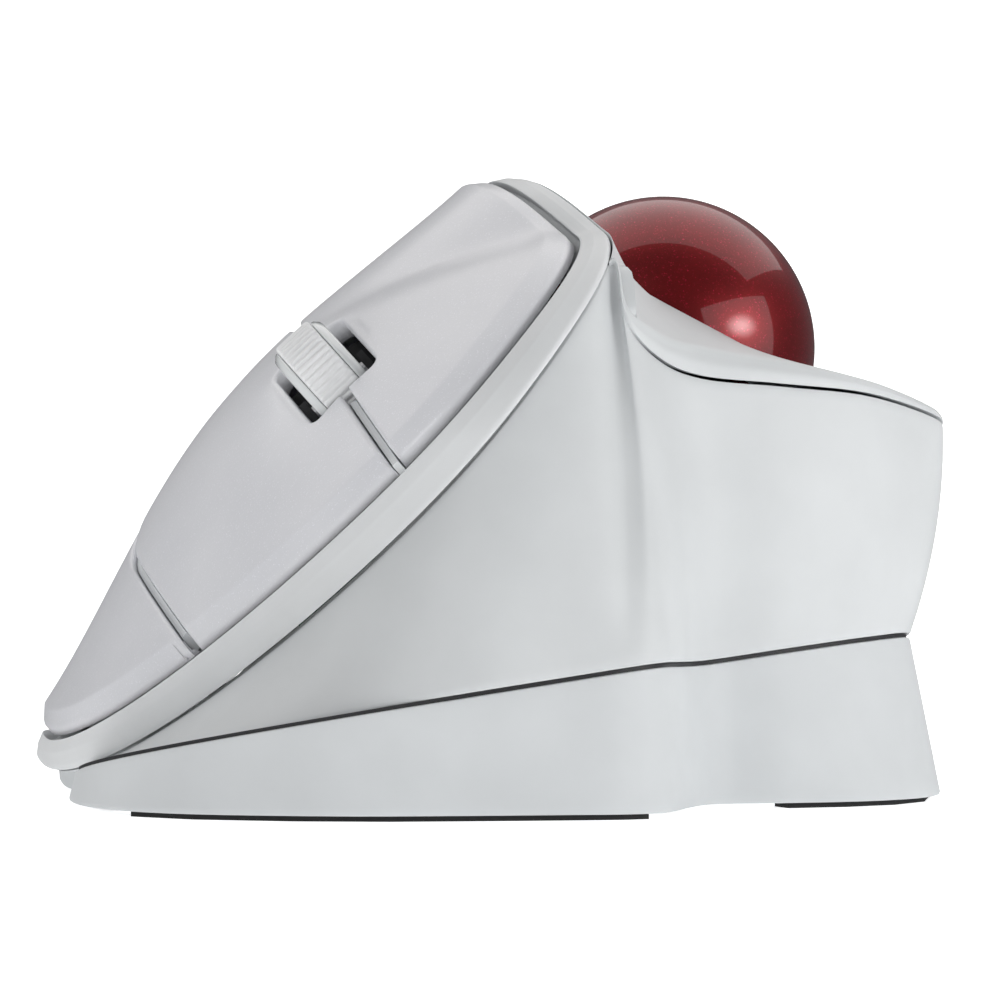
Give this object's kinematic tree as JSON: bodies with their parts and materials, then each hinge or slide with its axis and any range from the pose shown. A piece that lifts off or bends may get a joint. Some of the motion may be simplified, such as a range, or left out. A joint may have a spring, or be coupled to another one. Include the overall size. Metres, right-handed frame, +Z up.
{
  "type": "trackball mouse",
  "caption": "Thumb-operated trackball mouse on a wedge stand, with a sloped button panel, a scroll wheel and a red ball in a thumb deck.",
  "frame": {"origin": "middle of the bounding box at the table, under the foot pads", "axes": "+X towards the thumb side, -Y towards the front (finger) side, +Z up"},
  "size_m": [0.1024, 0.115, 0.0694],
  "materials": {
    "shell_white": "satin white",
    "pearl_white": "pearl white",
    "wheel_white": "ribbed white",
    "gloss_white": "gloss white",
    "ball_red": "polished red with metallic flakes",
    "foot_rubber": "matte black",
    "dark_plastic": "matte black",
    "circuit_board": "green solder mask",
    "steel": "plated",
    "bearing_ceramic": "polished white",
    "cell_jacket": "dark jacket",
    "clear_lens": "clear"
  },
  "bodies": {
    "wedge_stand": {"wedge_base": "shell_white", "base_bottom_plate": "shell_white", "foot_pad_front": "foot_rubber", "foot_pad_thumb_side": "foot_rubber", "foot_pad_rear": "foot_rubber", "foot_pad_palm_side": "foot_rubber", "stand_magnet_front": "steel", "stand_magnet_rear": "steel", "base_screw_1": "steel", "base_screw_2": "steel", "base_screw_3": "steel"},
    "mouse": {"ball_socket": "dark_plastic", "battery_cell": "cell_jacket", "battery_contact_front": "steel", "battery_contact_rear": "steel", "battery_cradle": "dark_plastic", "battery_spring": "steel", "bezel_ring": "shell_white", "bottom_case": "shell_white", "button_board": "circuit_board", "button_frame": "shell_white", "case_screw_1": "steel", "case_screw_2": "steel", "case_screw_3": "steel", "case_screw_4": "steel", "main_board": "circuit_board", "main_housing": "shell_white", "microswitch_left": "dark_plastic", "microswitch_right": "dark_plastic", "palm_cover": "pearl_white", "power_switch": "steel", "radio_chip": "dark_plastic", "sensor_board": "circuit_board", "sensor_chip": "dark_plastic", "sensor_lens": "clear_lens", "steel_plate_front": "steel", "steel_plate_rear": "steel", "support_bearing_1": "bearing_ceramic", "support_bearing_2": "bearing_ceramic", "support_bearing_3": "bearing_ceramic", "thumb_deck": "shell_white", "wheel_switch": "dark_plastic"},
    "left_button": {"left_button": "pearl_white"},
    "right_button": {"right_button": "pearl_white"},
    "plunger_left": {"plunger_left": "bearing_ceramic"},
    "plunger_right": {"plunger_right": "bearing_ceramic"},
    "forward_button": {"forward_button": "gloss_white"},
    "back_button": {"back_button": "gloss_white"},
    "dpi_button": {"dpi_button": "gloss_white"},
    "trackball": {"trackball": "ball_red"},
    "power_switch_knob": {"power_switch_knob": "dark_plastic"},
    "battery_door": {"battery_door": "shell_white"},
    "wheel_carrier": {"wheel_carrier": "dark_plastic"},
    "scroll_wheel": {"wheel_tyre": "wheel_white", "wheel_hub": "dark_plastic", "wheel_flange_lower": "gloss_white", "wheel_flange_upper": "gloss_white", "wheel_axle": "steel"}
  },
  "joints": [
    {"name": "mouse_lift_off", "type": "slide", "parent": "wedge_stand", "child": "mouse", "axis": [-0.1625, 0.063, 0.9847], "range_m": [0, 0.03]},
    {"name": "left_button_press", "type": "hinge", "parent": "mouse", "child": "left_button", "pos_m": [-0.00428, 0.021, 0.04639], "axis": [0.7385, 0, 0.6743], "range_deg": [0, 0.72], "stiffness_Nm_per_rad": 2.8, "springref_deg": -0.34},
    {"name": "right_button_press", "type": "hinge", "parent": "mouse", "child": "right_button", "pos_m": [-0.01979, 0.00803, 0.03223], "axis": [0.7385, 0, 0.6743], "range_deg": [0, 1.2], "stiffness_Nm_per_rad": 1, "springref_deg": -0.57},
    {"name": "left_plunger_travel", "type": "slide", "parent": "mouse", "child": "plunger_left", "axis": [0.6743, 0, -0.7385], "range_m": [0, 0.0007]},
    {"name": "right_plunger_travel", "type": "slide", "parent": "mouse", "child": "plunger_right", "axis": [0.6743, 0, -0.7385], "range_m": [0, 0.0007]},
    {"name": "wheel_press", "type": "slide", "parent": "mouse", "child": "wheel_carrier", "axis": [0.6743, 0, -0.7385], "range_m": [0, 0.0005], "stiffness_N_per_m": 1500, "springref_m": -0.0003},
    {"name": "wheel_scroll", "type": "hinge", "parent": "wheel_carrier", "child": "scroll_wheel", "pos_m": [-0.01498, -0.02249, 0.04461], "axis": [0.7385, 0, 0.6743], "continuous": true},
    {"name": "forward_button_press", "type": "slide", "parent": "mouse", "child": "forward_button", "axis": [0.6743, 0, -0.7385], "range_m": [0, 0.0005], "stiffness_N_per_m": 400, "springref_m": -0.0003},
    {"name": "back_button_press", "type": "slide", "parent": "mouse", "child": "back_button", "axis": [0.6743, 0, -0.7385], "range_m": [0, 0.0005], "stiffness_N_per_m": 400, "springref_m": -0.0003},
    {"name": "dpi_button_press", "type": "slide", "parent": "mouse", "child": "dpi_button", "axis": [0.6743, 0, -0.7385], "range_m": [0, 0.0005], "stiffness_N_per_m": 400, "springref_m": -0.0003},
    {"name": "trackball_roll", "type": "hinge", "parent": "mouse", "child": "trackball", "pos_m": [0.02025, 0.0006, 0.05005], "axis": [0, 1, 0], "continuous": true},
    {"name": "power_switch_travel", "type": "slide", "parent": "mouse", "child": "power_switch_knob", "axis": [0.9867, 0, 0.1628], "range_m": [0, 0.003]},
    {"name": "battery_door_travel", "type": "slide", "parent": "mouse", "child": "battery_door", "axis": [0.0103, 0.998, -0.0622], "range_m": [0, 0.003]}
  ],
  "couplings": [
    {"joint": "left_plunger_travel", "follows": "left_button_press", "m_per_rad": 0.055},
    {"joint": "right_plunger_travel", "follows": "right_button_press", "m_per_rad": 0.033}
  ]
}
